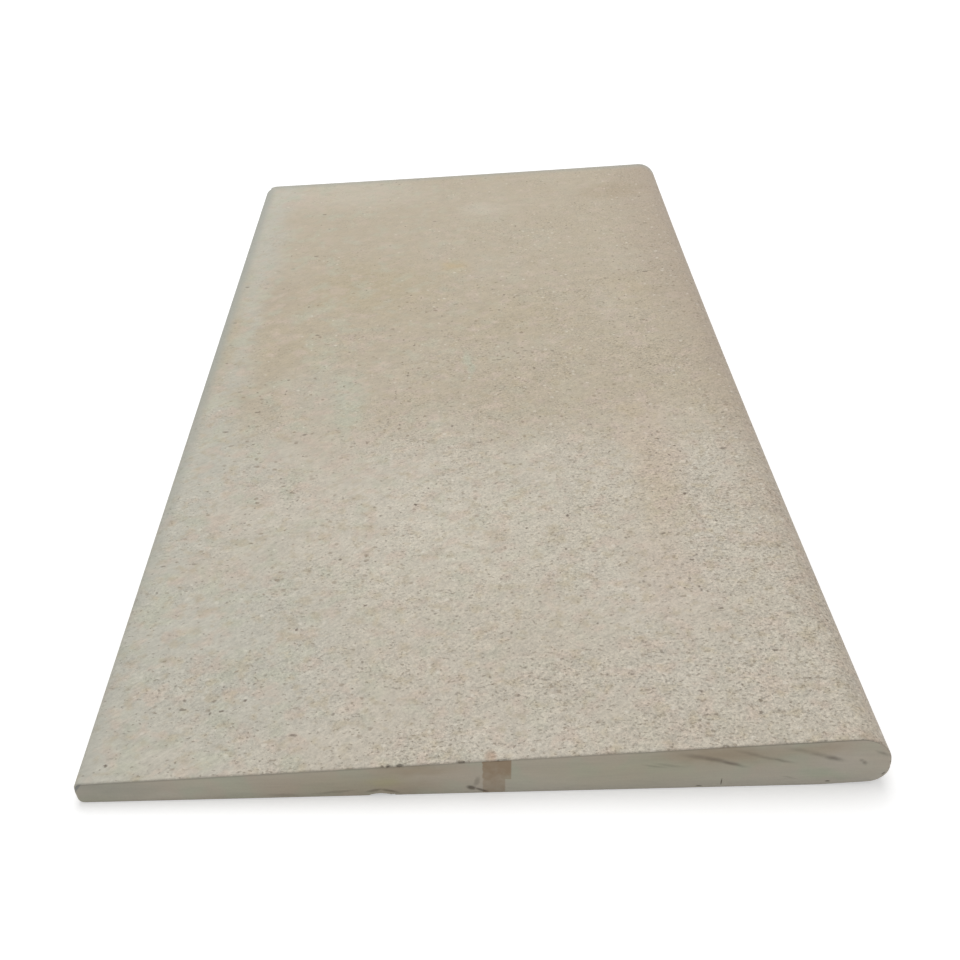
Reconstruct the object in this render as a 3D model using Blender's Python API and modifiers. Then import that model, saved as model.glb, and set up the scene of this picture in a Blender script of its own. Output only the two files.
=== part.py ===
"""Bullnose stair tread tile, 600 x 300 mm, in one fired piece.

The tile lies on its bed, with its origin at the middle of the bed. X runs from the back edge, which
butts against the riser, to the rounded nose over the step. Y runs along the step. Z is up.
The walking face falls from the thick nose to the thin back edge, so the section is a slender wedge.
"""

import math

import bmesh
import bpy
from mathutils import Vector

TILE_LENGTH = 0.600  # along the step, end face to end face
TILE_WIDTH = 0.300  # back edge to the front of the nose
NOSE_THICKNESS = 0.024  # crest of the nose above the bed
BACK_THICKNESS = 0.010  # walking face above the bed at the back edge
NOSE_TOP_RADIUS = 0.0135  # round from the walking face to the front of the nose
NOSE_LOWER_RADIUS = 0.0075  # round from the front of the nose to its underside
NOSE_UNDERCUT = 0.001  # lowest line of the lower round above the bed
RELIEF_RUN = 0.025  # the bed stops this far behind the front and rises to the nose
RELIEF_BLEND_RADIUS = 0.100  # eases the bed into the relief
BACK_TOP_RADIUS = 0.0025  # round along the top of the back edge
BACK_LAND = 0.0045  # upright band of the back edge, down from the walking face
BACK_DRAFT = math.radians(6.0)  # lean of the back edge under that band, inwards to the bed
BACK_LOWER_RADIUS = 0.0025  # round along the bottom of the back edge
END_ARRIS = 0.0005  # eased edge round both end faces
ARRIS_SEGMENTS = 2
ARC_STEP = math.radians(3.0)  # most that a round turns between two of its points
ARC_ERROR = 0.00001  # most that a round's facets cut inside it
ARRIS_MIN_TURN = math.radians(60.0)  # only the rims of the end faces turn by more than this
WELD_DISTANCE = 1e-6

BODY_COLOUR = (0.53, 0.49, 0.40, 1.0)
BODY_ROUGHNESS = 0.75


def clear_scene():
    for obj in list(bpy.data.objects):
        bpy.data.objects.remove(obj)


def touching_angle(point, centre, radius, side):
    """Angle of the line from point that touches the circle above its centre (side 1) or below it (-1)."""
    to_centre = centre - point
    return math.atan2(to_centre.y, to_centre.x) + side * math.asin(radius / to_centre.length)


def section_corners():
    """The section's sharp corners, clockwise from the back of the walking face, each with its round."""
    top_centre = Vector((TILE_WIDTH - NOSE_TOP_RADIUS, NOSE_THICKNESS - NOSE_TOP_RADIUS))
    lower_centre = Vector((TILE_WIDTH - NOSE_LOWER_RADIUS, NOSE_UNDERCUT + NOSE_LOWER_RADIUS))

    back_top = Vector((0.0, BACK_THICKNESS))
    fall = touching_angle(back_top, top_centre, NOSE_TOP_RADIUS, 1)
    front_top = Vector((TILE_WIDTH, BACK_THICKNESS + TILE_WIDTH * math.tan(fall)))

    bed_front = Vector((TILE_WIDTH - RELIEF_RUN, 0.0))
    relief = touching_angle(bed_front, lower_centre, NOSE_LOWER_RADIUS, -1)
    front_low = Vector((TILE_WIDTH, RELIEF_RUN * math.tan(relief)))

    land_foot = Vector((0.0, BACK_THICKNESS - BACK_LAND))
    bed_back = Vector((land_foot.y * math.tan(BACK_DRAFT), 0.0))
    return [
        (back_top, BACK_TOP_RADIUS),
        (front_top, NOSE_TOP_RADIUS),
        (front_low, NOSE_LOWER_RADIUS),
        (bed_front, RELIEF_BLEND_RADIUS),
        (bed_back, BACK_LOWER_RADIUS),
        (land_foot, 0.0),
    ]


def setback(before, corner, after, radius):
    """How far from the corner a round of this radius leaves each of its two straight sides."""
    half_corner = (before - corner).angle(after - corner) / 2
    return radius / math.tan(half_corner)


def fitted_setbacks(corners):
    """Each corner's setback, made smaller where two rounds would overlap on the side between them."""
    count = len(corners)
    wanted = [
        setback(corners[i - 1][0], corners[i][0], corners[(i + 1) % count][0], corners[i][1])
        for i in range(count)
    ]
    room = [1.0] * count
    for i in range(count):
        j = (i + 1) % count
        side = (corners[j][0] - corners[i][0]).length
        share = side / max(wanted[i] + wanted[j], side)
        room[i] = min(room[i], share)
        room[j] = min(room[j], share)
    return [wanted[i] * room[i] for i in range(count)]


def round_points(before, corner, after, distance):
    """Points of the arc that leaves both sides of the corner at this distance, in the outline's order."""
    if distance < WELD_DISTANCE:
        return [corner]
    into = (before - corner).normalized()
    out = (after - corner).normalized()
    half_corner = into.angle(out) / 2
    radius = distance * math.tan(half_corner)
    bisector = (into + out).normalized()
    centre = corner + bisector * (radius / math.sin(half_corner))
    start = corner + into * distance - centre
    turn = math.pi - 2 * half_corner
    step_angle = min(ARC_STEP, math.sqrt(8 * ARC_ERROR / radius))
    steps = max(2, math.ceil(turn / step_angle))
    points = []
    for step in range(steps + 1):
        angle = -turn * step / steps
        cosine, sine = math.cos(angle), math.sin(angle)
        spoke = Vector((start.x * cosine - start.y * sine, start.x * sine + start.y * cosine))
        points.append(centre + spoke)
    return points


def section_outline():
    """The rounded section as points (X, Z), with the middle of the tile's width at X = 0."""
    corners = section_corners()
    count = len(corners)
    distances = fitted_setbacks(corners)
    outline = []
    for i in range(count):
        before, corner, after = corners[i - 1][0], corners[i][0], corners[(i + 1) % count][0]
        for point in round_points(before, corner, after, distances[i]):
            if not outline or (point - outline[-1]).length > WELD_DISTANCE:
                outline.append(point)
    return [(point.x - TILE_WIDTH / 2, point.y) for point in outline]


def fired_body_material():
    material = bpy.data.materials.new("porcelain_body")
    material.use_nodes = True
    shader = material.node_tree.nodes["Principled BSDF"]
    shader.inputs["Base Color"].default_value = BODY_COLOUR
    shader.inputs["Roughness"].default_value = BODY_ROUGHNESS
    shader.inputs["Metallic"].default_value = 0.0
    return material


def section_curve(outline):
    """A filled flat outline in the curve's own XY plane, drawn out to the tile's length."""
    curve = bpy.data.curves.new("tread_section", "CURVE")
    curve.dimensions = "2D"
    curve.fill_mode = "BOTH"
    curve.extrude = TILE_LENGTH / 2
    spline = curve.splines.new("POLY")
    spline.points.add(len(outline) - 1)
    for point, (x, z) in zip(spline.points, outline):
        point.co = (x, z, 0.0, 1.0)
    spline.use_cyclic_u = True
    return bpy.data.objects.new("tread_section", curve)


def solid_from_curve(curve_object, name, collection):
    """The drawn-out outline as one welded solid, standing so that the section's height is Z."""
    collection.objects.link(curve_object)
    curve_object.rotation_euler = (math.pi / 2, 0.0, 0.0)
    bpy.context.view_layer.update()
    graph = bpy.context.evaluated_depsgraph_get()
    mesh = bpy.data.meshes.new_from_object(curve_object.evaluated_get(graph))
    mesh.name = name

    shape = bmesh.new()
    shape.from_mesh(mesh)
    bmesh.ops.remove_doubles(shape, verts=shape.verts, dist=WELD_DISTANCE)
    flat = ARC_STEP / 10
    bmesh.ops.dissolve_limit(shape, angle_limit=flat, verts=shape.verts, edges=shape.edges)
    bmesh.ops.recalc_face_normals(shape, faces=shape.faces)
    shape.to_mesh(mesh)
    shape.free()

    solid = bpy.data.objects.new(name, mesh)
    solid.matrix_world = curve_object.matrix_world
    collection.objects.link(solid)
    bpy.data.objects.remove(curve_object)
    return solid


def ease_end_arrises(tile):
    """Takes the sharpness off the rims of the two end faces."""
    arris = tile.modifiers.new("end_arris", "BEVEL")
    arris.width = END_ARRIS
    arris.segments = ARRIS_SEGMENTS
    arris.limit_method = "ANGLE"
    arris.angle_limit = ARRIS_MIN_TURN
    arris.use_clamp_overlap = True


def build_tread_tile(collection):
    tile = solid_from_curve(section_curve(section_outline()), "tread_tile", collection)
    tile.data.materials.clear()
    tile.data.materials.append(fired_body_material())
    tile.data.shade_smooth()
    tile.data.set_sharp_from_angle(angle=math.radians(30.0))
    ease_end_arrises(tile)
    return tile


def main():
    clear_scene()
    collection = bpy.data.collections.new("bullnose_stair_tread_tile")
    bpy.context.scene.collection.children.link(collection)
    build_tread_tile(collection)


main()
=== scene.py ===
"""Bullnose stair tread tile: the finished slab in place of its packed solid, and the studio that shows it.

Lengths are in metres, in the packed tile's own frame: the origin is the middle of the bed, X runs from the
back edge to the nose, Y along the step away from the camera, and Z up. Places on the tile are given as
the distance from the back edge, the distance from the near end and the height above the bed.
"""

import math
from collections import namedtuple

import bpy
from bpy.props import FloatProperty, FloatVectorProperty, PointerProperty
from bpy.types import Operator, Panel, PropertyGroup
from mathutils import Matrix, Vector


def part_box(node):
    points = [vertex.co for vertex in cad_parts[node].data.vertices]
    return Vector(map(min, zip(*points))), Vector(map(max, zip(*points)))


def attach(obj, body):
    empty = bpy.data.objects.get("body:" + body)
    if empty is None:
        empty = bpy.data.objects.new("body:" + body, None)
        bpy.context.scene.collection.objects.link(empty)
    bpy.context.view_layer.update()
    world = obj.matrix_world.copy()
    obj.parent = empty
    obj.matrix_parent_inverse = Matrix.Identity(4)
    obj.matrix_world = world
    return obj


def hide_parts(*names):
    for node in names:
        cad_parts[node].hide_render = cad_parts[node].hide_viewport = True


bl_info = {
    "name": "Bullnose Stair Tread Tile",
    "version": (1, 0, 0),
    "blender": (4, 5, 0),
    "location": "3D Viewport > Sidebar > Tread Tile",
    "description": "A limestone-look stair tread tile with a rounded nose, and a plain studio for it",
    "category": "Object",
}

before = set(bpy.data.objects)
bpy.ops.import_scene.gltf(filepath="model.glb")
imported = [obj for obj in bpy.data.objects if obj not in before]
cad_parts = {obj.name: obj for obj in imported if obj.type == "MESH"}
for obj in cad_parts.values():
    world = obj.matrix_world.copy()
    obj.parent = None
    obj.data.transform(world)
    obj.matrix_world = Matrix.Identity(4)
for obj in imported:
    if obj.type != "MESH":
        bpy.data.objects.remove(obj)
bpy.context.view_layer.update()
TILE_LOW, TILE_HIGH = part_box("tread_tile")
TILE_SIZE = TILE_HIGH - TILE_LOW

MM = 0.001
WELD = 20e-6  # points closer than this are merged

# Steps of the section's outline, as many on opposite sides as the grids of the ends need
BACK_ROUND_STEPS = 10
NOSE_ROUND_STEPS = 24
NOSE_LAND_STEPS = 4
BACK_DRAFT_STEPS = 10
BACK_BAND_STEPS = 8

# Runs of (millimetres, steps) from the back edge to the nose: finer at the chips and the saw marks
FACE_RUNS = ((60, 20), (30, 20), (14, 8), (20, 50), (14, 14), (24, 48), (62, 21), (60, 40))
# Runs of (length, steps) along the step, behind the near arris and before the far one
NEAR_RUNS = ((8 * MM, 16), (24 * MM, 16))
FAR_RUNS = ((10 * MM, 8),)
MIDDLE_STEPS = 88


def mm(*lengths):
    """Millimetres as metres."""
    return tuple(length * MM for length in lengths)


def rows(kind, *table):
    """Patches or marks from rows of place, size and the rest, with place and size in millimetres."""
    return [kind(mm(*row[:2]), mm(*row[2:4]), *row[4:]) for row in table]


def srgb(*screen):
    """A colour as it shows on a screen, 0 to 255 a channel, as the scene's linear light."""
    shares = [value / 255 for value in screen]
    return tuple(s / 12.92 if s <= 0.04045 else ((s + 0.055) / 1.055) ** 2.4 for s in shares)


# Clouds on the walking face: from back, from near end, half width, half length, tint, strength
Patch = namedtuple("Patch", "place size tint strength")
PATCHES = rows(
    Patch,
    (45, 65, 70, 110, "cool", 0.75),
    (30, 215, 38, 60, "cool", 0.45),
    (150, 140, 115, 95, "pale", 0.6),
    (55, 575, 95, 55, "pale", 0.38),
    (165, 525, 26, 18, "pale", 0.4),
    (2, 350, 16, 150, "tan", 0.75),
    (82, 262, 15, 50, "green", 0.85),
    (66, 316, 13, 34, "green", 0.5),
    (149, 300, 4, 27, "green", 0.8),
    (90, 405, 66, 68, "tan", 0.9),
    (40, 335, 36, 60, "tan", 0.45),
    (59, 382, 9, 10, "tan", 0.9),
    (233, 234, 8, 10, "tan", 0.9),
    (237, 178, 17, 72, "ochre", 0.38),
    (66, 275, 34, 46, "cool", 0.35),
    (28, 562, 15, 20, "pink", 0.5),
    (175, 355, 45, 50, "tan", 0.4),
    (145, 430, 17, 20, "ochre", 0.7),
    (255, 380, 24, 36, "ochre", 0.2),
    (266, 549, 46, 19, "tan", 1),
    (255, 547, 48, 22, "nose", 0.35),
    (34, 400, 24, 45, "nose", 0.22),
    (232, 102, 26, 46, "pink", 0.55),
    (240, 205, 24, 70, "pink", 0.5),
    (36, 120, 22, 16, "pink", 0.55),
    (160, 135, 9, 9, "rust", 0.3),
    (152.3, 2, 3.4, 4.5, "rust", 0.75),
)

# Clouds on the near end: from back, above bed, half width, half height, tint, strength
END_CLOUDS = rows(
    Patch,
    (10, 8, 38, 9, "body_corner", 0.9),
    (100, 6, 58, 11, "body_brown", 0.55),
    (120, 4, 22, 5, "body_brown", 0.5),
    (124, 13, 26, 4.5, "body_brown", 0.9),
    (114, 7.5, 11, 5.5, "yellow", 0.75),
    (205, 8, 60, 13, "yellow", 0.22),
    (236, 17.5, 42, 7.5, "body_brown", 1),
    (272, 19.5, 22, 4.5, "body_brown", 0.6),
    (276, 6, 18, 4, "body_green", 0.9),
    (286, 12, 20, 9, "body_pale_and_floor_light", 0.8),
    (291, 15, 18, 12, "body_pink", 0.55),
    (30, 2.5, 30, 3.5, "body_pale_and_floor_light", 0.45),
)

# Chips out of the rims of the near end: from back, half sizes (across, inwards, up), top or foot
Chip = namedtuple("Chip", "from_back size rim")
CHIP_PUSH = {"top": (0.0, 0.75, -0.66), "foot": (0.0, 0.80, 0.60)}
CHIPS = (
    Chip(61.5 * MM, mm(0.7, 0.4, 0.5), "top"),
    Chip(85.5 * MM, mm(0.7, 0.4, 0.5), "top"),
    Chip(114.9 * MM, mm(1.2, 0.5, 0.9), "top"),
    Chip(119.2 * MM, mm(1.5, 0.7, 1.1), "top"),
    Chip(141.4 * MM, mm(1.8, 0.6, 1), "top"),
    Chip(155.8 * MM, mm(4, 0.35, 0.6), "top"),
    Chip(111.9 * MM, mm(5.2, 2.6, 1.1), "foot"),
)

# Saw marks on the near end: from back, above bed, half length, half width, lean in degrees, strength
Mark = namedtuple("Mark", "place size lean strength")
SAW_MARKS = rows(
    Mark,
    (240, 12.9, 9.5, 1.5, -19, 1),
    (234.5, 14.8, 11.5, 1.8, -17, 0.85),
    (229, 16.3, 10, 1.8, -14, 0.6),
    (258.5, 13.7, 8, 1.1, -17, 0.62),
    (253.5, 15.2, 8.5, 1.3, -16, 0.5),
    (248, 17.2, 9.5, 1.5, -19, 0.45),
    (277.8, 14.3, 6.4, 1.7, -17, 1),
    (272.5, 16.2, 8, 1.8, -20, 0.5),
    (265.5, 18.6, 9, 1.8, -17, 0.38),
    (262.8, 4.5, 4.2, 0.7, -14, 0.4),
    (212.4, 12.2, 6.6, 1, -12, 0.45),
    (217.4, 12.5, 8, 1.1, -13, 0.4),
    (295.8, 16.2, 4.4, 1.2, -27, 0.6),
    (288.7, 12.7, 1.7, 1.1, -35, 0.6),
    (289.9, 11.6, 2, 1.2, -50, 0.75),
)

# Dark marks on the near end, given in the same way: dirt, and painted shade in the arc just above the foot
# chip (the rows at 109.3 and 115)
DARK_MARKS = rows(
    Mark,
    (237.9, 3, 2.3, 0.34, 86, 1),
    (229.8, 1.3, 1.5, 0.5, 0, 0.8),
    (277.6, 1.8, 1.3, 0.6, 0, 0.9),
    (297.9, 5.4, 1.4, 0.5, 50, 0.75),
    (145.2, 3.1, 2.6, 1.6, -24, 1),
    (149, 1.8, 4, 0.9, -20, 0.85),
    (147.2, 6.4, 3.6, 1.5, 75, 0.4),
    (156.6, 17.2, 3.6, 0.6, 3, 0.6),
    (109.3, 2.9, 4, 0.95, 14, 0.6),
    (115, 2.5, 5.2, 0.9, -14, 0.6),
    (95, 2.6, 10, 0.9, 6, 0.35),
    (76, 1.6, 9, 1.2, -2, 0.25),
)

# The darkest grains of the walking face: from back, from near end, half sizes, lean, strength
SPECKS = rows(
    Mark,
    (10.5, 8, 0.9, 1, 0, 0.9),
    (74, 78, 0.9, 1.2, 0, 1),
    (58, 38, 0.9, 1.1, 0, 0.9),
    (49.5, 33, 1.7, 0.7, 0, 0.9),
    (46, 38.5, 1.6, 0.9, 20, 0.7),
    (34, 40, 1, 1.1, 0, 0.75),
    (193, 147, 1, 1.4, 0, 1),
    (190, 122, 0.9, 1.3, 0, 0.85),
    (122, 163, 0.9, 1.5, 0, 1),
    (102, 91, 1.3, 0.9, 25, 0.85),
    (89, 124, 0.9, 1.3, 0, 0.85),
    (140, 232, 0.9, 1.6, 0, 0.8),
    (244, 109, 1.4, 1, 0, 0.9),
    (249, 159, 1.3, 1.2, 0, 0.9),
    (209, 40, 1.1, 1.1, 0, 0.75),
    (255, 22, 1.2, 1.1, 0, 0.85),
)

# The stain across the near end: from back to its two sides, and the step in the far one
STAIN_SIDES = mm(149.2, 160.1)
STAIN_STEP, STAIN_STEP_HEIGHT = mm(2.2, 7.2)


def level(name, description, default, **settings):
    """A number for a PropertyGroup, never below 0."""
    return FloatProperty(name=name, description=description, default=default, min=0.0, **settings)


def length(name, description, default):
    """A size for a PropertyGroup."""
    return level(name, description, default, precision=5, unit="LENGTH")


def colour(name, description, *screen):
    """A surface colour for a PropertyGroup, given as it shows on a screen."""
    return FloatVectorProperty(
        name=name, description=description, default=srgb(*screen), min=0.0, max=1.0, subtype="COLOR"
    )


class TreadSection(PropertyGroup):
    """Sizes of the slab and of its cross-section."""

    length: length("Length", "Along the step, end to end", TILE_SIZE.y)
    width: length("Width", "Back edge to the front of the nose", TILE_SIZE.x)
    nose_thickness: length("Nose Thickness", "Crest of the nose above the bed", TILE_SIZE.z)
    back_thickness: length("Back Thickness", "Walking face above the bed at the back edge", 10 * MM)
    nose_top_radius: length("Nose Top Radius", "Round from the walking face to the front", 13.5 * MM)
    nose_low_radius: length("Nose Lower Radius", "Round from the front to the underside", 7.5 * MM)
    nose_undercut: length("Nose Undercut", "Lowest line of the lower round above the bed", 1 * MM)
    relief_run: length("Relief Run", "Where the bed starts to rise, behind the front", 25 * MM)
    relief_radius: length("Relief Radius", "Eases the bed into the relief", 100 * MM)
    back_top_radius: length("Back Top Radius", "Round along the top of the back edge", 2.5 * MM)
    back_low_radius: length("Back Lower Radius", "Round along the foot of the back edge", 2.5 * MM)
    back_band: length("Back Band", "Walking face to the foot of the upright band", 4.5 * MM)
    back_lean: level("Back Lean", "Lean under that band", math.radians(6.0), subtype="ANGLE")
    end_arris: length("End Arris", "Eased edge round both ends", 0.5 * MM)


class TreadWear(PropertyGroup):
    """How far the real slab departs from its drawing."""

    nose_bow: length("Nose Bow", "How far the front draws in at the middle", 2.1 * MM)
    back_bow: length("Back Bow", "How far the back edge draws in at the middle", 0.1 * MM)
    far_bow: length("Far Bow", "How far the far end draws in at the middle", 1.3 * MM)
    dish: length("Dish", "How far the walking face sinks in the middle", 0.4 * MM)
    ripple: length("Ripple", "Depth of the waves in the walking face", 0.15 * MM)
    ripple_size: length("Ripple Size", "Width of one wave", 45 * MM)
    corner_across: length("Corner Across", "Rubbed far back corner, across the slab", 7 * MM)
    corner_along: length("Corner Along", "Rubbed far back corner, along the slab", 12 * MM)
    ragged: level("Ragged", "How uneven the arrises and chips are", 0.35, max=1.0, subtype="FACTOR")


class StoneColours(PropertyGroup):
    """Colours of the walking face."""

    base: colour("Base", "Near half of the printed stone", 197, 189, 174)
    warm: colour("Warm", "Far half of the printed stone", 184, 172, 151)
    cool: colour("Cool", "Strip along the back edge and the near back corner", 188, 185, 172)
    green: colour("Green", "Faint green clouds", 184, 184, 164)
    pale: colour("Pale", "Pale clouds", 203, 196, 180)
    tan: colour("Tan", "Brownish clouds", 181, 168, 142)
    ochre: colour("Ochre", "Orange-tan spots", 190, 170, 134)
    pink: colour("Pink", "Pinkish clouds", 196, 180, 164)
    rust: colour("Rust", "Small reddish stains", 172, 135, 112)
    nose: colour("Nose", "Rubbed brownish tone of the nose", 169, 153, 135)
    # Cool grey rim colour, partly painted shade of the rounded arrises along the back edge and the far end
    edge: colour("Edge", "Cool grey rim of the back edge", 164, 165, 156)
    pit: colour("Pit", "Dust in the small pits", 133, 116, 96)
    speck: colour("Speck", "Dark grains", 92, 78, 64)
    fleck: colour("Fleck", "Light grains", 226, 220, 206)


class BodyColours(PropertyGroup):
    """Colours of the fired body on the ends and the bed."""

    body: colour("Body", "Fired clay where it is sawn", 188, 180, 162)
    body_pink: colour("Body Pink", "Faint pink clouds in it", 192, 178, 161)
    body_green: colour("Body Green", "Faint green clouds in it", 181, 184, 163)
    # Paler grey body for clouds and the bed's dust, and also painted light from the floor on the lower part
    # of the sawn ends
    body_pale_and_floor_light: colour("Body Foot", "Greyer and paler lower half", 200, 194, 180)
    body_brown: colour("Body Brown", "Browner parts", 172, 157, 134)
    body_corner: colour("Body Corner", "Darker back corner", 172, 168, 154)
    # Painted shade of the rounded lip at the top of the back edge, on the near end
    lip_shade: colour("Lip Shade", "Bluish grey rounded lip of the back edge", 134, 134, 132)
    yellow: colour("Yellow", "Yellowish cloud above the foot chip", 178, 170, 134)
    stain: colour("Stain", "Brown stain across the near end", 157, 136, 110)
    # Dark colour of the dirt in the saw marks and dark marks, and of painted shade in the chips and in the
    # arc above the foot chip
    dirt_and_painted_shade: colour("Dirt And Painted Shade", "Dirt in the saw marks and chips", 72, 61, 48)
    bed: colour("Bed", "Raw underside", 184, 177, 162)


class Studio(PropertyGroup):
    """Camera, light and floor."""

    camera_place: FloatVectorProperty(
        name="Camera Place",
        description="Where the camera stands",
        default=mm(-7.385, -602.578, 347.530),
        subtype="TRANSLATION",
        unit="LENGTH",
    )
    camera_turn: FloatVectorProperty(
        name="Camera Turn",
        description="How the camera is turned",
        default=(math.radians(55.6448), math.radians(0.3524), math.radians(-1.4984)),
        subtype="EULER",
    )
    lens: level("Lens", "Focal length on a 36 mm sensor", 45.09, unit="CAMERA")
    sky: level("Sky", "Even light from all round, where 1 shows a level face at its own colour", 0.45)
    lamp: level("Lamp", "Soft light from above, where 1 shows a level face at its own colour", 0.55)
    floor: level("Floor", "How light the grey floor is", 0.80, max=1.0, subtype="FACTOR")


class Value:
    """A number in a node tree. A sum that is written with it becomes Math nodes."""

    def __init__(self, nodes, socket):
        self.nodes = nodes
        self.socket = socket

    def __add__(self, other):
        return self.nodes.math("ADD", self, other)

    def __sub__(self, other):
        return self.nodes.math("SUBTRACT", self, other)

    def __rsub__(self, other):
        return self.nodes.math("SUBTRACT", other, self)

    def __mul__(self, other):
        return self.nodes.math("MULTIPLY", self, other)

    def __truediv__(self, other):
        return self.nodes.math("DIVIDE", self, other)

    def __rtruediv__(self, other):
        return self.nodes.math("DIVIDE", other, self)

    __radd__ = __add__
    __rmul__ = __mul__


class Nodes:
    """Adds nodes to one tree. Any input may be a plain value or what another node gives."""

    A_COLUMN, ACROSS, DOWN = 12, 200, -180  # nodes in a column, and their spacing

    def __init__(self, tree):
        self.tree = tree

    def add(self, kind, inputs=None, **settings):
        node = self.tree.nodes.new(kind)
        column, row = divmod(len(self.tree.nodes), self.A_COLUMN)
        node.location = (column * self.ACROSS, row * self.DOWN)
        for name, setting in settings.items():
            setattr(node, name, setting)
        for key, value in (inputs or {}).items():
            self.feed(node.inputs[key], value)
        return node

    def feed(self, socket, value):
        value = getattr(value, "socket", value)
        if isinstance(value, bpy.types.NodeSocket):
            self.tree.links.new(value, socket)
        else:
            socket.default_value = value

    def value(self, kind, inputs=None, output=0, **settings):
        return Value(self, self.add(kind, inputs, **settings).outputs[output])

    def given(self):
        """The values that the tree is given, by name."""
        outputs = self.add("NodeGroupInput").outputs
        return {output.name: Value(self, output) for output in outputs if output.name}

    def math(self, operation, *values):
        return self.value("ShaderNodeMath", dict(enumerate(values)), operation=operation)

    def vector(self, operation, *values):
        output = "Value" if operation in ("LENGTH", "DOT_PRODUCT") else "Vector"
        return self.value("ShaderNodeVectorMath", dict(enumerate(values)), output, operation=operation)

    def scaled(self, vector, factor):
        return self.value("ShaderNodeVectorMath", {0: vector, "Scale": factor}, operation="SCALE")

    def joined(self, x, y, z):
        return self.value("ShaderNodeCombineXYZ", {0: x, 1: y, 2: z})

    def parts(self, vector):
        outputs = self.add("ShaderNodeSeparateXYZ", {0: vector}).outputs
        return [Value(self, output) for output in outputs]

    def ramp(self, value, low, high, start=0.0, end=1.0, kind="LINEAR"):
        """Start where the value is low, end where it is high, and between them in between."""
        inputs = {"Value": value, "From Min": low, "From Max": high, "To Min": start, "To Max": end}
        return self.value("ShaderNodeMapRange", inputs, interpolation_type=kind)

    def blend(self, factor, first, second):
        """First where the factor is 0 and second where it is 1, for vectors."""
        inputs = {0: factor, 4: first, 5: second}
        return self.value("ShaderNodeMix", inputs, 1, data_type="VECTOR")

    def tinted(self, factor, first, second):
        """First where the factor is 0 and second where it is 1, for colours."""
        inputs = {0: factor, 6: paint(first), 7: paint(second)}
        return self.value("ShaderNodeMix", inputs, 2, data_type="RGBA")

    def noise(self, coordinates, size, detail=2.0, output="Fac", roughness=0.5, shift=None):
        """Cloudy noise from 0 to 1 whose clouds are about this wide. A shift makes it another one."""
        if shift:
            coordinates = self.vector("ADD", coordinates, shift)
        inputs = {"Vector": coordinates, "Scale": 1 / size, "Detail": detail, "Roughness": roughness}
        return self.value("ShaderNodeTexNoise", inputs, output)

    def mapped(self, coordinates, kind="POINT", **inputs):
        """Coordinates moved, turned and stretched by a Mapping node."""
        inputs["Vector"] = coordinates
        return self.value("ShaderNodeMapping", inputs, vector_type=kind)

    def attribute(self, name):
        """A number that the slab stores at its points, for a material."""
        return self.value("ShaderNodeAttribute", output="Fac", attribute_name=name)

    def warped(self, coordinates, size, reach, source=None):
        """Coordinates pushed about by clouds of this size, so that what is drawn in them is uneven."""
        clouds = self.noise(source or coordinates, size, 2.0, "Color")
        push = self.vector("SUBTRACT", clouds, (0.5, 0.5, 0.5))
        return self.vector("ADD", coordinates, self.scaled(push, 2 * reach))


def paint(value):
    """A colour with its alpha, or a node's output as it is."""
    return value if isinstance(value, Value) else (*value, 1.0)


def on_tile(from_back, from_near, above_bed=0.0):
    """A place on the tile as a point of the frame."""
    return Vector((TILE_LOW.x + from_back, TILE_LOW.y + from_near, TILE_LOW.z + above_bed))


# The section's outline

def touching_angle(point, centre, radius, side):
    """Angle of the line from point that touches the circle above its centre (side 1) or below it (-1)."""
    to_centre = centre - point
    return math.atan2(to_centre.y, to_centre.x) + side * math.asin(radius / to_centre.length)


def round_points(before, corner, after, radius, steps):
    """Points of the round that touches both sides of a corner, clockwise, both ends included."""
    into = (before - corner).normalized()
    out = (after - corner).normalized()
    half_corner = into.angle(out) / 2
    centre = corner + (into + out).normalized() * (radius / math.sin(half_corner))
    spoke = corner + into * (radius / math.tan(half_corner)) - centre
    turn = math.pi - 2 * half_corner
    return [centre + Matrix.Rotation(-turn * step / steps, 2) @ spoke for step in range(steps + 1)]


def stops(runs):
    """Shares of the way along a line that is cut into runs of (length, steps), its two ends left out."""
    whole = sum(run for run, steps in runs)
    shares, start = [], 0.0
    for run, steps in runs:
        shares += [(start + run * step / steps) / whole for step in range(1, steps + 1)]
        start += run
    return shares[:-1]


def line_points(start, end, steps):
    """Points between two ends, the ends left out."""
    return [start.lerp(end, step / steps) for step in range(1, steps)]


def face_line(section):
    """The walking face's line in the section: its height at the back edge and its slope."""
    crest = Vector((section.width, section.nose_thickness))
    centre = crest - Vector((section.nose_top_radius, section.nose_top_radius))
    back_top = Vector((0.0, section.back_thickness))
    return back_top, math.tan(touching_angle(back_top, centre, section.nose_top_radius, 1))


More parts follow.
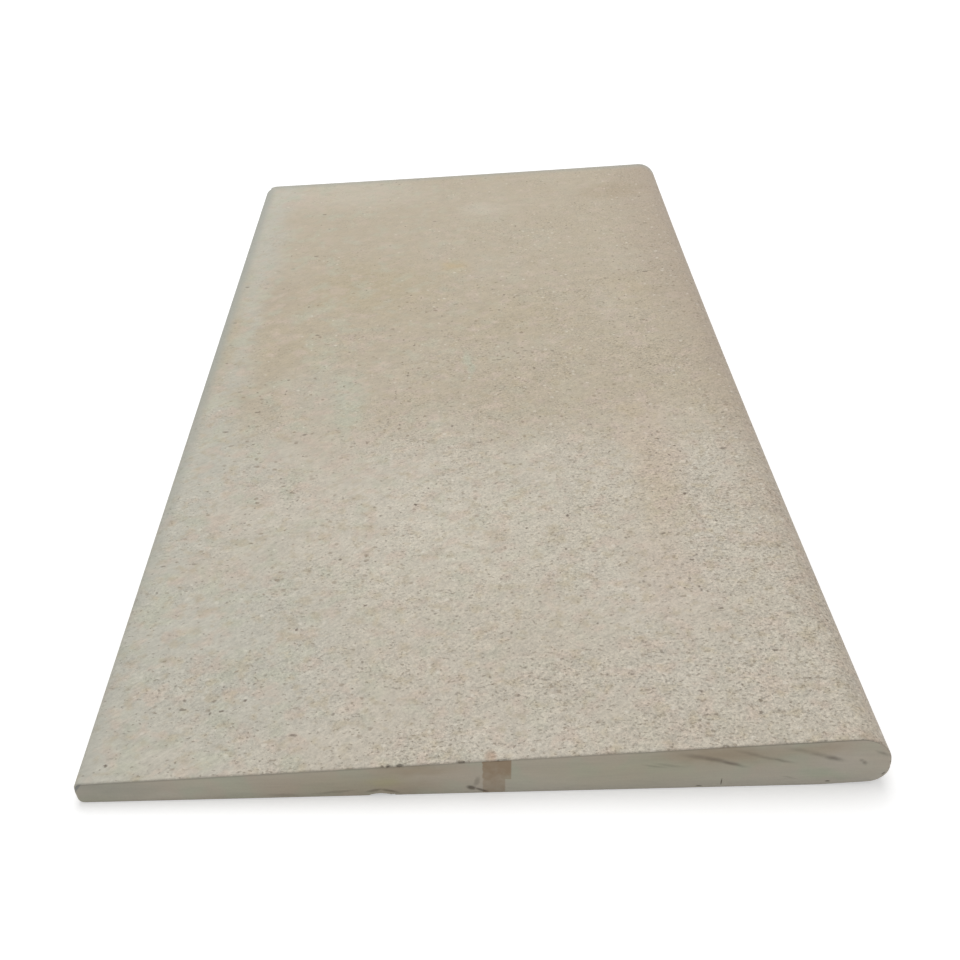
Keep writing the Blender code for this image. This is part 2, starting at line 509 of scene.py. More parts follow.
def section_outline(section):
    """The section's four sides as points (from back, above bed), clockwise from the top of the back edge.

    Each side ends half way round a corner: walking face, nose, bed and back edge.
    """
    back_top, slope = face_line(section)
    front_top = Vector((section.width, back_top.y + section.width * slope))

    low_radius = section.nose_low_radius
    low_centre = Vector((section.width - low_radius, section.nose_undercut + low_radius))
    bed_front = Vector((section.width - section.relief_run, 0.0))
    rise = math.tan(touching_angle(bed_front, low_centre, low_radius, -1))
    front_low = Vector((section.width, section.relief_run * rise))

    land_foot = Vector((0.0, section.back_thickness - section.back_band))
    bed_back = Vector((land_foot.y * math.tan(section.back_lean), 0.0))

    half_back, half_nose = BACK_ROUND_STEPS // 2, NOSE_ROUND_STEPS // 2
    top_back = round_points(land_foot, back_top, front_top, section.back_top_radius, BACK_ROUND_STEPS)
    top_front = round_points(back_top, front_top, front_low, section.nose_top_radius, NOSE_ROUND_STEPS)
    low_front = round_points(front_top, front_low, bed_front, low_radius, NOSE_ROUND_STEPS)
    low_back = round_points(bed_front, bed_back, land_foot, section.back_low_radius, BACK_ROUND_STEPS)

    def bed_height(from_back):
        """Zero under the bed, then the relief's easing parabola, then its straight rise."""
        blend = section.relief_radius * rise
        into = from_back - (bed_front.x - blend / 2)
        eased = min(max(into, 0.0), blend)
        return eased**2 / (2 * section.relief_radius) + rise * max(into - blend, 0.0)

    shares = stops(FACE_RUNS)
    face = [top_back[-1].lerp(top_front[0], s) for s in shares]
    under = [low_front[-1].lerp(low_back[0], 1 - s) for s in reversed(shares)]
    bed = [Vector((point.x, bed_height(point.x))) for point in under]
    land = line_points(top_front[-1], low_front[0], NOSE_LAND_STEPS)
    draft = line_points(low_back[-1], land_foot, BACK_DRAFT_STEPS)
    band = line_points(land_foot, top_back[0], BACK_BAND_STEPS)
    return [
        top_back[half_back:] + face + top_front[: half_nose + 1],
        top_front[half_nose:] + land + low_front[: half_nose + 1],
        low_front[half_nose:] + bed + low_back[: half_back + 1],
        low_back[half_back:] + draft + [land_foot] + band + top_back[: half_back + 1],
    ]


def section_mesh(sides):
    """The outline as one ring of edges in the plane Y = 0, with the way inwards at each point."""
    ring = [point for side in sides for point in side[:-1]]
    count = len(ring)
    mesh = bpy.data.meshes.new("tread_section")
    points = [(TILE_LOW.x + point.x, 0.0, TILE_LOW.z + point.y) for point in ring]
    mesh.from_pydata(points, [(i, (i + 1) % count) for i in range(count)], [])
    inward = mesh.attributes.new("inward", "FLOAT_VECTOR", "POINT")
    for i in range(count):
        along = (ring[(i + 1) % count] - ring[i - 1]).normalized()
        inward.data[i].vector = (along.y, 0.0, -along.x)
    return mesh


# The slab's geometry nodes

# Sizes that the slab's nodes are given, by the property group that holds them
SLAB_SIZES = {
    "tread_section": ("length", "width", "nose_thickness", "end_arris"),
    "tread_wear": (
        "nose_bow", "back_bow", "far_bow", "dish", "ripple", "ripple_size", "corner_across", "corner_along",
        "ragged",
    ),
}
SLAB_FINISHES = (
    ("Face Material", "Walking face, nose and back edge"),
    ("Bed Material", "Underside"),
    ("End Material", "Both sawn ends"),
)
BED_FINISH, END_FINISH = 1, 2
ARRIS_GRAIN = 2.5 * MM
CHIP_GRAIN = 1.1 * MM


def new_group(name, inputs, outputs):
    """An empty geometry node group with these sockets, each (name, type, description)."""
    tree = bpy.data.node_groups.new(name, "GeometryNodeTree")
    for in_out, sockets in (("INPUT", inputs), ("OUTPUT", outputs)):
        for socket_name, kind, description in sockets:
            socket = tree.interface.new_socket(socket_name, in_out=in_out, socket_type=kind)
            socket.description = description
    return tree


def slab_sizes(scene):
    """Name, description and value of each size that the slab's nodes are given."""
    for group_name, keys in SLAB_SIZES.items():
        group = getattr(scene, group_name)
        for key in keys:
            size = group.bl_rna.properties[key]
            yield size.name, size.description, getattr(group, key)


def chip_group():
    """Node group that moves the points inside a ragged ellipsoid along a push, onto its far side."""
    vector, number = "NodeSocketVector", "NodeSocketFloat"
    inputs = (
        ("Position", vector, "Point of the slab"),
        ("Centre", vector, "Middle of the ellipsoid"),
        ("Size", vector, "Its half sizes"),
        ("Push", vector, "The way that points are moved"),
        ("Ragged", number, "How uneven its rim is"),
    )
    outputs = (("Position", vector, "Where the point ends up"), ("Depth", number, "How far it moved"))
    tree = new_group("chip", inputs, outputs)
    n = Nodes(tree)
    given = n.given()

    place = n.vector("DIVIDE", n.vector("SUBTRACT", given["Position"], given["Centre"]), given["Size"])
    place = n.warped(place, CHIP_GRAIN, given["Ragged"] * 1.5, given["Position"])
    push = n.vector("DIVIDE", given["Push"], given["Size"])

    along = n.vector("DOT_PRODUCT", place, push)
    steep = n.vector("DOT_PRODUCT", push, push)
    outside = n.vector("DOT_PRODUCT", place, place) - 1.0
    root = n.math("SQRT", n.math("MAXIMUM", along * along - steep * outside, 0.0))
    travel = (root - along) / steep * n.math("LESS_THAN", outside, 0.0)

    moved = n.vector("ADD", given["Position"], n.scaled(given["Push"], travel))
    n.add("NodeGroupOutput", {"Position": moved, "Depth": travel})
    return tree


def stepped(n, count, runs):
    """Distance after so many steps along runs of (length, steps)."""
    distance, first = 0.0, 0
    for run, steps in runs:
        distance = n.ramp(count, first, first + steps, 0.0, run) + distance
        first += steps
    return distance


def ring_reader(n, given, ring_count):
    """A function from a place in the ring and an inset to the outline's point there."""
    position = n.value("GeometryNodeInputPosition")
    inward = n.value(
        "GeometryNodeInputNamedAttribute", {"Name": "inward"}, "Attribute", data_type="FLOAT_VECTOR"
    )

    def sampled(value, place):
        inputs = {"Geometry": given["Section"], "Value": value, "Index": place}
        return n.value("GeometryNodeSampleIndex", inputs, data_type="FLOAT_VECTOR")

    def point(place, inset):
        place = n.math("MODULO", place, ring_count)
        corner = sampled(position, place)
        wear = (n.noise(corner, ARRIS_GRAIN) - 0.5) * given["Ragged"] * 3.0 + 1.0
        return n.vector("MULTIPLY_ADD", sampled(inward, place), wear * inset, corner)

    return point


def stored(n, geometry, name, value, data_type, domain):
    inputs = {"Geometry": geometry, "Name": name, "Value": value}
    return n.value("GeometryNodeStoreNamedAttribute", inputs, data_type=data_type, domain=domain)


def grid(n, columns, rows):
    """A flat grid with its column and row numbers, to be bent by its positions."""
    inputs = {"Vertices X": columns + 1, "Vertices Y": rows + 1}
    index = n.value("GeometryNodeInputIndex")
    column = n.math("FLOOR", index / (rows + 1))
    return n.value("GeometryNodeMeshGrid", inputs), column, index - column * (rows + 1)


def placed(n, geometry, position):
    return n.value("GeometryNodeSetPosition", {"Geometry": geometry, "Position": position})


def swept_skin(n, given, point, face_steps, edge_steps):
    """The outline drawn along the step, its rims eased in at both ends."""
    arris, slab_length = given["End Arris"], given["Length"]
    first = arris * (1 - math.sqrt(0.5))
    fixed = sum(run for run, steps in NEAR_RUNS + FAR_RUNS)
    middle = slab_length - fixed - arris * 2.0
    ease_in = ((first, 1), (arris - first, 1))
    runs = ease_in + NEAR_RUNS + ((middle, MIDDLE_STEPS),) + FAR_RUNS + tuple(reversed(ease_in))
    stations = sum(steps for run, steps in runs)

    skin, ring, station = grid(n, 2 * (face_steps + edge_steps), stations)
    along = stepped(n, station, runs)
    to_rim = n.math("MINIMUM", n.math("MINIMUM", along, slab_length - along), arris)
    gap = arris - to_rim
    inset = arris - n.math("SQRT", n.math("MAXIMUM", arris * arris - gap * gap, 0.0))
    outline = point(ring, inset)
    skin = placed(n, skin, n.vector("ADD", outline, n.joined(0.0, along - slab_length / 2.0, 0.0)))

    face_ring = n.math("FLOOR", n.value("GeometryNodeInputIndex") / stations)
    behind = n.math("GREATER_THAN", face_ring, face_steps + edge_steps - 0.5)
    before = n.math("LESS_THAN", face_ring, 2 * face_steps + edge_steps - 0.5)
    return stored(n, skin, "finish", behind * before * BED_FINISH, "INT", "FACE")


def sawn_end(n, given, point, face_steps, edge_steps):
    """The near end: a grid that fills the outline, shaped by all four of its sides."""
    arris = given["End Arris"]
    end, column, row = grid(n, face_steps, edge_steps)
    across, up = column / face_steps, row / edge_steps
    nose, bed = face_steps + edge_steps, 2 * face_steps + edge_steps

    top, low = point(column, arris), point(bed - column, arris)
    back, front = point(row + bed, arris), point(nose - row, arris)
    corners = [point(float(place), arris) for place in (bed, nose, 0, face_steps)]
    low_corners = n.blend(across, corners[0], corners[1])
    top_corners = n.blend(across, corners[2], corners[3])
    sides = n.vector("ADD", n.blend(up, low, top), n.blend(across, back, front))
    shape = n.vector("SUBTRACT", sides, n.blend(up, low_corners, top_corners))
    near = n.joined(0.0, given["Length"] * -0.5, 0.0)

    below_face = n.vector("LENGTH", n.vector("SUBTRACT", top, shape))
    end = stored(n, end, "below_face", below_face, "FLOAT", "POINT")
    end = placed(n, end, n.vector("ADD", shape, near))
    return stored(n, end, "finish", END_FINISH, "INT", "FACE")


def bowed(n, given):
    """Where each point goes as the slab's long edges, far end and walking face draw in."""
    at = n.value("GeometryNodeInputPosition")
    x, y, z = n.parts(at)
    width, slab_length = given["Width"], given["Length"]
    across, along = x / width + 0.5, y / slab_length + 0.5
    mid_width, mid_length = [1.0 - (s * 2.0 - 1.0) * (s * 2.0 - 1.0) for s in (across, along)]
    height = z / given["Nose Thickness"]

    draw_x = mid_length * (given["Back Bow"] * (1.0 - across) - given["Nose Bow"] * across)
    draw_y = mid_width * along * along * given["Far Bow"] * -1.0
    waves = n.noise(at, given["Ripple Size"], 1.0)
    sink = mid_length * mid_width * given["Dish"] + waves * given["Ripple"]

    reach_x, reach_y = given["Corner Across"], given["Corner Along"]
    out_x = n.ramp(x + width / 2.0, reach_x, 0.0)
    out_y = n.ramp(slab_length / 2.0 - y, reach_y, 0.0)
    longest = n.math("MAXIMUM", out_x, out_y)
    distance = n.math("MAXIMUM", n.math("SQRT", out_x * out_x + out_y * out_y), 0.001)
    pulled = 1.0 - longest / distance
    draw_x = out_x * pulled * reach_x + draw_x
    draw_y = draw_y - out_y * pulled * reach_y
    return n.joined(draw_x, draw_y, sink * height * -1.0)


def chipped(n, given, section):
    """Positions after every chip, and how deep each point lies in one."""
    group = chip_group()
    back_top, slope = face_line(section)
    position, depth = n.value("GeometryNodeInputPosition"), 0.0
    for chip in CHIPS:
        rise = back_top.y + chip.from_back * slope if chip.rim == "top" else 0.0
        inputs = {
            "Position": position,
            "Centre": on_tile(chip.from_back, 0.0, rise),
            "Size": chip.size,
            "Push": CHIP_PUSH[chip.rim],
            "Ragged": given["Ragged"],
        }
        node = n.add("GeometryNodeGroup", inputs, node_tree=group)
        position = Value(n, node.outputs["Position"])
        depth = Value(n, node.outputs["Depth"]) + depth
    return position, depth


def slab_tree(section, sizes, face_steps, edge_steps):
    """Geometry nodes that make the whole slab from the ring of its section."""
    inputs = [("Section", "NodeSocketGeometry", "Outline as a ring of edges, with its inward vectors")]
    inputs += [(name, "NodeSocketFloat", description) for name, description, value in sizes]
    inputs += [(name, "NodeSocketMaterial", description) for name, description in SLAB_FINISHES]
    tree = new_group("sawn_slab", inputs, [("Slab", "NodeSocketGeometry", "The closed slab")])
    n = Nodes(tree)
    given = n.given()
    point = ring_reader(n, given, 2 * (face_steps + edge_steps))

    skin = swept_skin(n, given, point, face_steps, edge_steps)
    near = sawn_end(n, given, point, face_steps, edge_steps)
    shift = n.joined(0.0, given["Length"], 0.0)
    far = n.value("GeometryNodeTransform", {"Geometry": near, "Translation": shift})
    far = n.value("GeometryNodeFlipFaces", {"Mesh": far})
    join = n.add("GeometryNodeJoinGeometry")
    for part in (skin, near, far):
        n.feed(join.inputs[0], part)

    welded = n.value("GeometryNodeMergeByDistance", {"Geometry": join.outputs[0], "Distance": WELD})
    bow = n.value("GeometryNodeSetPosition", {"Geometry": welded, "Offset": bowed(n, given)})
    position, depth = chipped(n, given, section)
    slab = stored(n, bow, "chip", depth, "FLOAT", "POINT")
    slab = placed(n, slab, position)
    slab = n.value("GeometryNodeSetShadeSmooth", {"Geometry": slab})
    slab = n.value("GeometryNodeRealizeInstances", {"Geometry": slab})
    finish = n.value("GeometryNodeInputNamedAttribute", {"Name": "finish"}, "Attribute", data_type="INT")
    for number, (name, description) in enumerate(SLAB_FINISHES):
        chosen = n.math("COMPARE", finish, number, 0.5)
        inputs = {"Geometry": slab, "Selection": chosen, "Material": given[name]}
        slab = n.value("GeometryNodeSetMaterial", inputs)
    n.add("NodeGroupOutput", {"Slab": slab})
    return tree


def set_inputs(modifier, values):
    """Sets a Geometry Nodes modifier's inputs by their sockets' identifiers."""
    for item in modifier.node_group.interface.items_tree:
        if item.item_type == "SOCKET" and item.in_out == "INPUT" and item.name in values:
            modifier[item.identifier] = values[item.name]


def added(name, data):
    """A new object in the scene."""
    item = bpy.data.objects.new(name, data)
    bpy.context.scene.collection.objects.link(item)
    return item


def plain_mesh(source, name):
    """The evaluated source as a plain mesh object at the origin. The source is removed."""
    graph = bpy.context.evaluated_depsgraph_get()
    mesh = bpy.data.meshes.new_from_object(source.evaluated_get(graph))
    mesh.name = name
    bpy.data.objects.remove(source)
    return added(name, mesh)


# Materials

BRUSH_ANGLE = math.radians(40.0)  # lean of the fine ripples from across the slab
FACE_RELIEF, END_RELIEF, BED_RELIEF = mm(0.22, 0.10, 0.12)  # depth of the fine grain


def new_material(name):
    """A material with one Principled shader, the builder of its nodes and the place on the slab."""
    material = bpy.data.materials.new(name)
    material.use_nodes = True
    n = Nodes(material.node_tree)
    return material, n, n.value("ShaderNodeTexCoord", output="Object")


def finish_material(n, tone, roughness, height, depth):
    """Gives the Principled shader its colour, its roughness and a fine relief of this depth."""
    bump = n.value("ShaderNodeBump", {"Strength": 1.0, "Distance": depth, "Height": height})
    shader = n.tree.nodes["Principled BSDF"]
    values = {"Base Color": tone, "Roughness": roughness, "Metallic": 0.0, "Normal": bump}
    for name, value in values.items():
        n.feed(shader.inputs[name], value)


def spot(n, coordinates, mark, axis, core=0.0):
    """A soft ellipse on the walking face (axis Z) or the near end (Y): 1 in its core, 0 at its rim."""
    lean = math.radians(getattr(mark, "lean", 0.0))
    first, second = mark.size
    if axis == "Z":
        place, size, turn = on_tile(*mark.place), (first, second, 1.0), (0.0, 0.0, lean)
    else:
        place = on_tile(mark.place[0], 0.0, mark.place[1])
        size, turn = (first, 1.0, second), (0.0, -lean, 0.0)
    local = n.mapped(coordinates, "TEXTURE", Location=place, Rotation=turn, Scale=size)
    return n.ramp(n.vector("LENGTH", local), core, 1.0, 1.0, 0.0, "SMOOTHSTEP")


def worst_mark(n, coordinates, marks, axis, core=0.0):
    """How deep a point lies in the strongest of the marks there, from 0 to 1."""
    deepest = 0.0
    for mark in marks:
        found = spot(n, coordinates, mark, axis, core) * mark.strength
        deepest = n.math("MAXIMUM", found, deepest)
    return deepest


def grains(n, coordinates, cell, size, share_filled, stretch=(1.0, 1.0, 1.0), offset=0.0):
    """Scattered grains: at most one in each cell, up to this big, in this share of the cells."""
    moved = n.mapped(coordinates, Location=(offset, offset, 0.0), Scale=stretch)
    node = n.add("ShaderNodeTexVoronoi", {"Vector": moved, "Scale": 1 / cell})
    chance, spread, depth = n.parts(node.outputs["Color"])
    radius = spread * (size / cell * 0.6) + size / cell * 0.4
    near = n.ramp(Value(n, node.outputs["Distance"]) / radius, 0.45, 1.0, 1.0, 0.0, "SMOOTHSTEP")
    return near * n.math("LESS_THAN", chance, share_filled) * (depth * 0.5 + 0.5)


def stone_clouds(n, at, small, lively, colours):
    """The stone's colour before its rub and grain: its two halves, placed clouds and finer ones."""
    loose = n.warped(at, *mm(28, 14))
    loose_x, loose_y = n.parts(loose)[:2]
    clouds = n.noise(at, 60 * MM, 3.0)
    far_half = n.ramp(loose_y - TILE_LOW.y, *mm(180, 270), kind="SMOOTHSTEP")
    warmth = n.math("MINIMUM", far_half * 0.85 + n.ramp(clouds, 0.40, 0.65) * 0.3, 1.0)
    tone = n.tinted(warmth, colours.base, colours.warm)
    strip = n.ramp(loose_x - TILE_LOW.x, *mm(14, 34), 0.8, 0.0, "SMOOTHSTEP")
    tone = n.tinted(strip, tone, colours.cool)
    for patch in PATCHES:
        cloud = spot(n, at if patch.tint == "rust" else loose, patch, "Z", 0.15)
        tone = n.tinted(cloud * patch.strength, tone, getattr(colours, patch.tint))

    tone = n.tinted(n.ramp(small, 0.52, 0.66) * lively * 0.60, tone, colours.pink)
    other = n.noise(at, 12 * MM, shift=(0.3, 0.7, 0.2))
    from_back = n.parts(at)[0] - TILE_LOW.x
    greenish = n.ramp(other, 0.52, 0.66) * n.ramp(from_back, *mm(60, 220), 0.50, 0.12)
    tone = n.tinted(greenish, tone, colours.green)
    blotches = n.noise(at, 6 * MM, 3.0, shift=(0.1, 0.9, 0.5))
    return n.tinted(n.ramp(blotches, 0.54, 0.68) * lively * 0.5, tone, colours.tan)


def stone_face(colours, body):
    """Printed and sanded limestone look: soft clouds, placed tints, pits, dark and light grains."""
    material, n, at = new_material("stone_face")
    x, y, z = n.parts(at)
    from_back, from_near = x - TILE_LOW.x, y - TILE_LOW.y
    near, nose = n.ramp(y, TILE_HIGH.y, TILE_LOW.y), n.ramp(x, TILE_LOW.x, TILE_HIGH.x)
    small = n.noise(at, 9 * MM)
    lively = n.ramp(from_near, *mm(360, 460), 1.0, 0.62)
    tone = stone_clouds(n, at, small, lively, colours)
    rub_start = n.ramp(from_near, *mm(40, 400, 290, 254))
    rubbed = n.ramp(from_back + small * (10 * MM), rub_start, 300 * MM)
    tone = n.tinted(rubbed * n.ramp(from_near, *mm(80, 380), 0.45, 0.76), tone, colours.nose)

    patchy = n.noise(at, 34 * MM, 3.0, shift=(0.6, 0.1, 0.4))
    sandy = n.ramp(near * 0.40 + nose * 0.60 + (patchy - 0.5) * 1.6 - 0.08, 0.0, 1.0)
    sand = n.noise(at, 1.2 * MM, 3.0, roughness=0.85)
    brushed = n.mapped(at, "TEXTURE", Rotation=(0.0, 0.0, BRUSH_ANGLE), Scale=(2.6, 1.0, 1.0))
    ripples = n.noise(brushed, 1.3 * MM)
    mottle = n.noise(n.mapped(at, Scale=(0.75, 1.0, 1.0)), 7 * MM, 3.0, roughness=0.65)
    coarse = (sand - 0.5) * (sandy * 1.75 + 0.2) * n.ramp(from_near, *mm(180, 420), 1.0, 0.68)
    # Painted light and shade of the sand grains and the brushed ripples, with a colour mottle, scale the
    # tone
    shade = (ripples - 0.5) * (near * 0.30 + 0.15) + (mottle - 0.5) * lively * 0.42 + coarse + 1.0
    tone = n.scaled(tone, shade)
    pitted = n.noise(n.mapped(at, Scale=(0.62, 0.9, 1.0)), 0.95 * MM, 1.0)
    pits = n.ramp(pitted - sandy * 0.10, 0.31, 0.22)
    tone = n.tinted(pits * 0.42, tone, colours.pit)

    cluster = n.ramp(n.noise(at, 20 * MM, 3.0, shift=(0.2, 0.4, 0.9)), 0.46, 0.62)
    reach = n.ramp(from_near - nose * (80 * MM), *mm(400, 270))
    reach = reach * n.ramp(from_near, *mm(70, 130), 0.2)
    uneven = n.warped(at, *mm(1.8, 0.8))
    holes = grains(n, uneven, *mm(3.2, 1.3), cluster * reach * 0.8, (0.75, 0.9, 1.0), 0.47)
    tone = n.tinted(holes * 0.65, tone, colours.pit)
    dots = grains(n, uneven, *mm(3.2, 0.95), sandy * 0.30 + cluster * nose * 0.5, (1.0, 0.8, 1.0), 0.31)
    dashes = grains(n, uneven, *mm(8.0, 1.5), cluster * 0.50 + 0.05, (0.6, 1.3, 1.0), 0.67)
    dark = n.math("MAXIMUM", dots * 0.8, dashes)
    dark = n.math("MAXIMUM", dark, worst_mark(n, uneven, SPECKS, "Z", 0.35))
    tone = n.tinted(dark * 0.8, tone, colours.speck)
    light = grains(n, uneven, *mm(3.4, 1.4), sandy * 0.35 + 0.02, offset=0.83)
    tone = n.tinted(light * 0.5, tone, colours.fleck)

    # Grey rims along the back edge and the far end: a cool grey tone, partly painted shade of the rounded
    # arrises
    back_rim = n.ramp(from_back, *mm(1, 9), 1.0, 0.0, "SMOOTHSTEP")
    back_rim = back_rim * n.ramp(from_near, *mm(80, 320), 0.35, 0.95)
    far_rim = n.ramp(TILE_HIGH.y - y, *mm(1.5, 10.0), 0.7, 0.0)
    tone = n.tinted(n.math("MAXIMUM", back_rim, far_rim), tone, colours.edge)
    upright = n.ramp(z + small * (1.2 * MM), *mm(9.0, 7.6)) * n.ramp(from_back, *mm(3.0, 2.0))
    plain = n.tinted(n.ramp(small, 0.4, 0.6), body.body, body.body_corner)
    tone = n.tinted(upright * 0.9, tone, plain)
    tone = n.tinted(n.ramp(z, *mm(5.0, 2.5)), tone, body.bed)
    # Painted shade and dirt in the chips: the deeper a point lies in a chip, the darker it is
    tone = n.tinted(n.ramp(n.attribute("chip"), *mm(0.02, 0.30), 0.0, 0.65), tone, body.dirt_and_painted_shade)

    roughness = n.ramp(mottle, 0.3, 0.7, 0.57, 0.69) + pits * 0.15 - rubbed * 0.06
    height = sand * (sandy * 0.8 + 0.2) + ripples * 0.9 - pits * 0.8
    finish_material(n, tone, roughness, height, FACE_RELIEF)
    return material


def sawn_body(colours):
    """The fired body on the sawn ends, with the near end's stain, saw marks and dirt, and painted light and
    shade: paler lower parts, the shaded back lip, and shade in the chips and above the foot chip.
    """
    material, n, at = new_material("sawn_body")
    x, y, z = n.parts(at)
    from_back = x - TILE_LOW.x
    near = n.math("LESS_THAN", y, 0.0)
    drawn = n.mapped(at, Scale=(0.10, 1.0, 1.0))
    streaks, lines = n.noise(drawn, 2.2 * MM), n.noise(drawn, 0.7 * MM)
    fine = n.noise(at, 1.0 * MM)

    tone = n.tinted(n.ramp(n.noise(at, 15 * MM), 0.50, 0.62) * 0.5, colours.body, colours.body_pink)
    other = n.noise(at, 17 * MM, shift=(0.2, 0.5, 0.1))
    tone = n.tinted(n.ramp(other, 0.48, 0.60) * 0.6, tone, colours.body_green)
    # Painted light: the lower part of the sawn ends is made paler, standing in for light thrown up from the
    # floor
    low = n.ramp(z + streaks * (4 * MM), *mm(14, 3)) * n.ramp(from_back, *mm(120, 175), 0.1, 0.85)
    tone = n.tinted(low, tone, colours.body_pale_and_floor_light)
    cloudy = n.warped(at, *mm(7, 3))
    for cloud in END_CLOUDS:
        depth = spot(n, cloudy, cloud, "Y") * near * cloud.strength
        tone = n.tinted(depth, tone, getattr(colours, cloud.tint))
    # Painted shade: the rounded lip at the top of the back edge is darkened on the near end
    lip_shade = n.ramp(from_back - z * 0.7, *mm(-4.1, -3.5), 1.0, 0.0) * near
    tone = n.tinted(lip_shade * 0.9, tone, colours.lip_shade)
    tone = n.scaled(tone, (streaks - 0.5) * 0.20 + (lines - 0.5) * 0.10 + (fine - 0.5) * 0.10 + 1.0)

    ragged = n.parts(n.warped(at, *mm(2.0, 0.6)))
    stepped_in = n.math("LESS_THAN", ragged[2], STAIN_STEP_HEIGHT) * STAIN_STEP
    left = n.ramp(ragged[0] - TILE_LOW.x, STAIN_SIDES[0], STAIN_SIDES[0] + 0.5 * MM)
    right = n.ramp(from_back + stepped_in, STAIN_SIDES[1], STAIN_SIDES[1] - 0.4 * MM)
    blotches = n.noise(at, 2.6 * MM, 3.0)
    fading = n.ramp(z + blotches * (6 * MM), *mm(9, 17), 0.62, 1.0)
    tone = n.tinted(left * right * near * (fading + (blotches - 0.5) * 0.5), tone, colours.stain)

    loose = n.warped(at, *mm(4, 0.45))
    grooves = worst_mark(n, loose, SAW_MARKS, "Y") * near
    # Dirt, and the painted shade of the arc above the foot chip
    dirt_and_shade_marks = worst_mark(n, loose, DARK_MARKS, "Y", 0.25) * near
    tone = n.tinted(grooves * 0.60, tone, colours.dirt_and_painted_shade)
    tone = n.tinted(dirt_and_shade_marks * 0.75, tone, colours.dirt_and_painted_shade)
    # Darker in a thin band just below the top arris, more so towards the nose
    below_arris_band = n.ramp(from_back, *mm(230, 270), 0.35, 0.60)
    below_arris_band = n.ramp(n.attribute("below_face"), *mm(0.1, 0.9), below_arris_band, 0.0)
    tone = n.tinted(below_arris_band, tone, colours.dirt_and_painted_shade)
    # Painted shade and dirt in the chips: the deeper a point lies in a chip, the darker it is
    tone = n.tinted(n.ramp(n.attribute("chip"), *mm(0.05, 0.35), 0.0, 0.75), tone, colours.dirt_and_painted_shade)

    roughness = n.ramp(streaks, 0.3, 0.7, 0.50, 0.60) + dirt_and_shade_marks * 0.25
    height = lines * 0.4 + streaks * 0.6 + fine * 0.3 - grooves * 1.6 - dirt_and_shade_marks * 2.0
    finish_material(n, tone, roughness, height, END_RELIEF)
    return material


def raw_bed(colours):
    """The underside: dusty raw body with faint roller lines."""
    material, n, at = new_material("raw_bed")
    lines = n.noise(n.mapped(at, Scale=(1.0, 0.04, 1.0)), 4 * MM, 2.0)
    dust = n.noise(at, 18 * MM, 4.0)
    fine = n.noise(at, 1.2 * MM)
    tone = n.tinted(n.ramp(dust, 0.42, 0.66) * 0.6, colours.bed, colours.body_pale_and_floor_light)
    tone = n.scaled(tone, (lines - 0.5) * 0.08 + (fine - 0.5) * 0.10 + 1.0)
    roughness = n.ramp(dust, 0.42, 0.66, 0.82, 0.92)
    finish_material(n, tone, roughness, fine * 0.6 + lines * 0.4, BED_RELIEF)
    return material


class TREAD_OT_build_slab(Operator):
    """Build the finished slab in place of the plain solid"""

    bl_idname = "tread.build_slab"
    bl_label = "Build Slab"

    def execute(self, context):
        scene = context.scene
        section = scene.tread_section
        sides = section_outline(section)
        face_steps, edge_steps = len(sides[0]) - 1, len(sides[1]) - 1
        if (len(sides[2]) - 1, len(sides[3]) - 1) != (face_steps, edge_steps):
            raise RuntimeError("opposite sides of the section need as many steps as each other")

        source = added("tread_section", section_mesh(sides))
        sizes = tuple(slab_sizes(scene))
        sweep = source.modifiers.new("sawn_slab", "NODES")
        sweep.node_group = slab_tree(section, sizes, face_steps, edge_steps)
        values = {name: value for name, description, value in sizes}
        stone, body = scene.tread_stone, scene.tread_body
        values["Face Material"] = stone_face(stone, body)
        values["Bed Material"] = raw_bed(body)
        values["End Material"] = sawn_body(body)
        set_inputs(sweep, values)
        slab = plain_mesh(source, "tread_slab")
        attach(slab, "root")
        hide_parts("tread_tile")
        return {"FINISHED"}


# Studio

SENSOR_WIDTH = 36.0  # in the camera's own millimetres
CLIP_START = 0.01
FLOOR_SIZE = 12.0
FLOOR_GAP = 0.1 * MM  # floor below the bed, so that the two don't flicker
FLOOR_LIFT = 0.40  # glow that brings the floor to white round the tile
FLOOR_LIFT_FADE = (0.8, 2.4)  # distances from the tile between which the glow grows to 1
LAMP_PLACE = Vector((-0.1, 0.5, 2.2))
LAMP_SIZE = 1.6


def camera_ray(n):
    """1 for rays from the camera, or seen in gloss or through glass, and 0 for rays that light things."""
    rays = n.add("ShaderNodeLightPath").outputs
    seen = n.math("MAXIMUM", rays["Is Camera Ray"], rays["Is Glossy Ray"])
    return n.math("MAXIMUM", seen, rays["Is Transmission Ray"])


def empty_nodes(owner):
    """The builder of a material's or world's nodes, with the first ones taken out."""
    owner.use_nodes = True
    owner.node_tree.nodes.clear()
    return Nodes(owner.node_tree)


def floor_material(grey):
    """Matt floor, lifted to white where the camera sees it, so that its shadows still show."""
    material = bpy.data.materials.new("floor")
    n = empty_nodes(material)
    matt = n.value("ShaderNodeBsdfDiffuse", {"Color": (grey, grey, grey, 1.0)})
    away = n.vector("LENGTH", n.value("ShaderNodeTexCoord", output="Object"))
    lifted = n.ramp(away, *FLOOR_LIFT_FADE, FLOOR_LIFT, 1.0)
    lift = n.value("ShaderNodeEmission", {"Strength": camera_ray(n) * lifted})
    n.add("ShaderNodeOutputMaterial", {"Surface": n.value("ShaderNodeAddShader", {0: matt, 1: lift})})
    return material


def make_floor(grey):
    half = FLOOR_SIZE / 2
    corners = [(x, y, -FLOOR_GAP) for x, y in ((-half, -half), (half, -half), (half, half), (-half, half))]
    mesh = bpy.data.meshes.new("floor")
    mesh.from_pydata(corners, [], [(0, 1, 2, 3)])
    mesh.materials.append(floor_material(grey))
    added("floor", mesh)


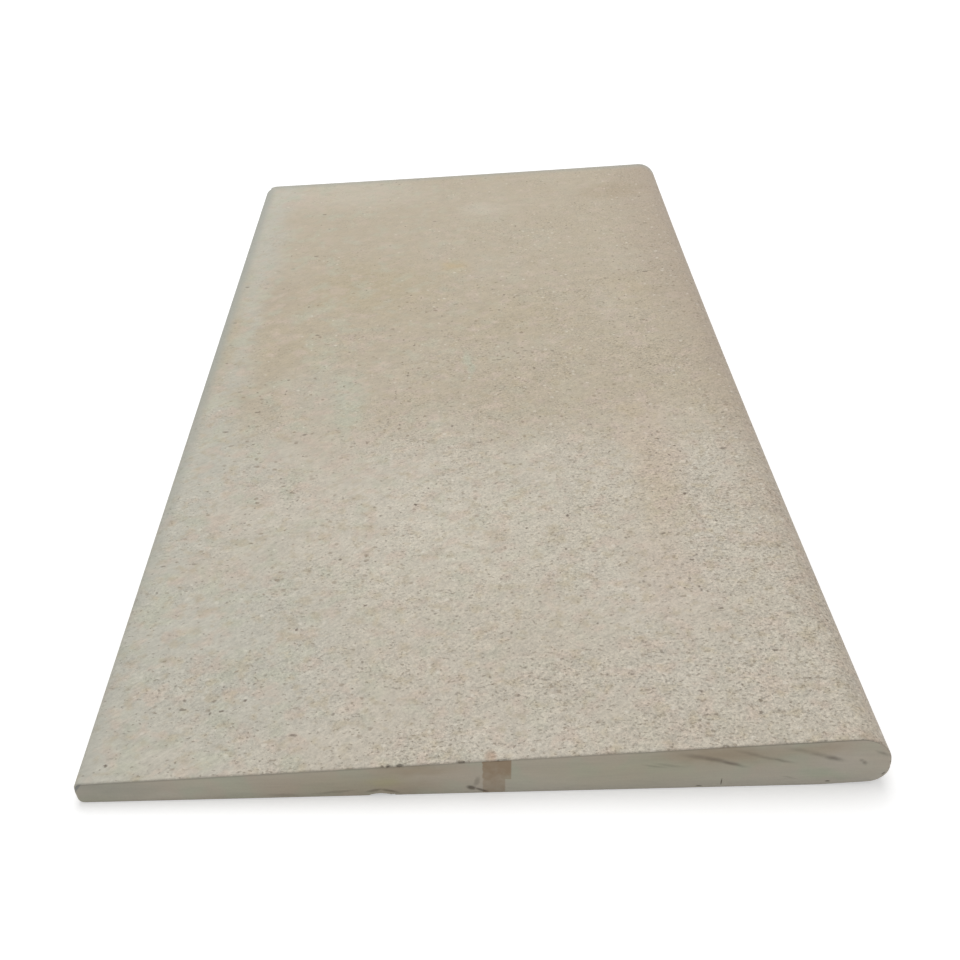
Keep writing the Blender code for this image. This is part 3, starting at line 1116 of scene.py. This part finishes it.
def make_world(sky):
    world = bpy.data.worlds.new("studio")
    n = empty_nodes(world)
    white = paint((1.0, 1.0, 1.0))
    light, plain = [n.value("ShaderNodeBackground", {"Color": white, "Strength": s}) for s in (sky, 1.0)]
    mixed = n.value("ShaderNodeMixShader", {0: camera_ray(n), 1: light, 2: plain})
    n.add("ShaderNodeOutputWorld", {"Surface": mixed})
    bpy.context.scene.world = world


def make_lamp(strength):
    """A square soft light aimed at the tile. At strength 1 it shows a level face at its own colour."""
    lamp = bpy.data.lights.new("soft_lamp", "AREA")
    lamp.shape = "SQUARE"
    lamp.size = LAMP_SIZE
    distance = LAMP_PLACE.length
    slant = LAMP_PLACE.z / distance
    lamp.energy = strength * math.pi**2 * distance**2 / slant
    holder = added("soft_lamp", lamp)
    holder.location = LAMP_PLACE
    holder.rotation_euler = LAMP_PLACE.to_track_quat("Z", "Y").to_euler()


def make_camera(studio):
    camera = bpy.data.cameras.new("camera")
    camera.sensor_fit = "HORIZONTAL"
    camera.sensor_width = SENSOR_WIDTH
    camera.lens = studio.lens
    camera.clip_start = CLIP_START
    holder = added("camera", camera)
    holder.location = studio.camera_place
    holder.rotation_euler = studio.camera_turn
    bpy.context.scene.camera = holder


class TREAD_OT_build_studio(Operator):
    """Set up the floor, the light and the camera"""

    bl_idname = "tread.build_studio"
    bl_label = "Build Studio"

    def execute(self, context):
        studio = context.scene.tread_studio
        make_floor(studio.floor)
        make_world(studio.sky)
        make_lamp(studio.lamp)
        make_camera(studio)
        context.scene.view_settings.view_transform = "Standard"
        return {"FINISHED"}


GROUPS = {
    "tread_section": TreadSection,
    "tread_wear": TreadWear,
    "tread_stone": StoneColours,
    "tread_body": BodyColours,
    "tread_studio": Studio,
}


class TREAD_PT_panel(Panel):
    bl_idname = "TREAD_PT_panel"
    bl_label = "Tread Tile"
    bl_space_type = "VIEW_3D"
    bl_region_type = "UI"
    bl_category = "Tread Tile"

    def draw(self, context):
        for name, group in GROUPS.items():
            box = self.layout.box()
            box.label(text=group.__doc__)
            for key in group.__annotations__:
                box.prop(getattr(context.scene, name), key)
        self.layout.operator(TREAD_OT_build_slab.bl_idname)
        self.layout.operator(TREAD_OT_build_studio.bl_idname)


CLASSES = (*GROUPS.values(), TREAD_OT_build_slab, TREAD_OT_build_studio, TREAD_PT_panel)


def register():
    for item in CLASSES:
        bpy.utils.register_class(item)
    for name, group in GROUPS.items():
        setattr(bpy.types.Scene, name, PointerProperty(type=group))


def unregister():
    for name in GROUPS:
        delattr(bpy.types.Scene, name)
    for item in reversed(CLASSES):
        bpy.utils.unregister_class(item)


def main():
    register()
    bpy.ops.tread.build_slab()
    bpy.ops.tread.build_studio()


if __name__ == "__main__":
    main()
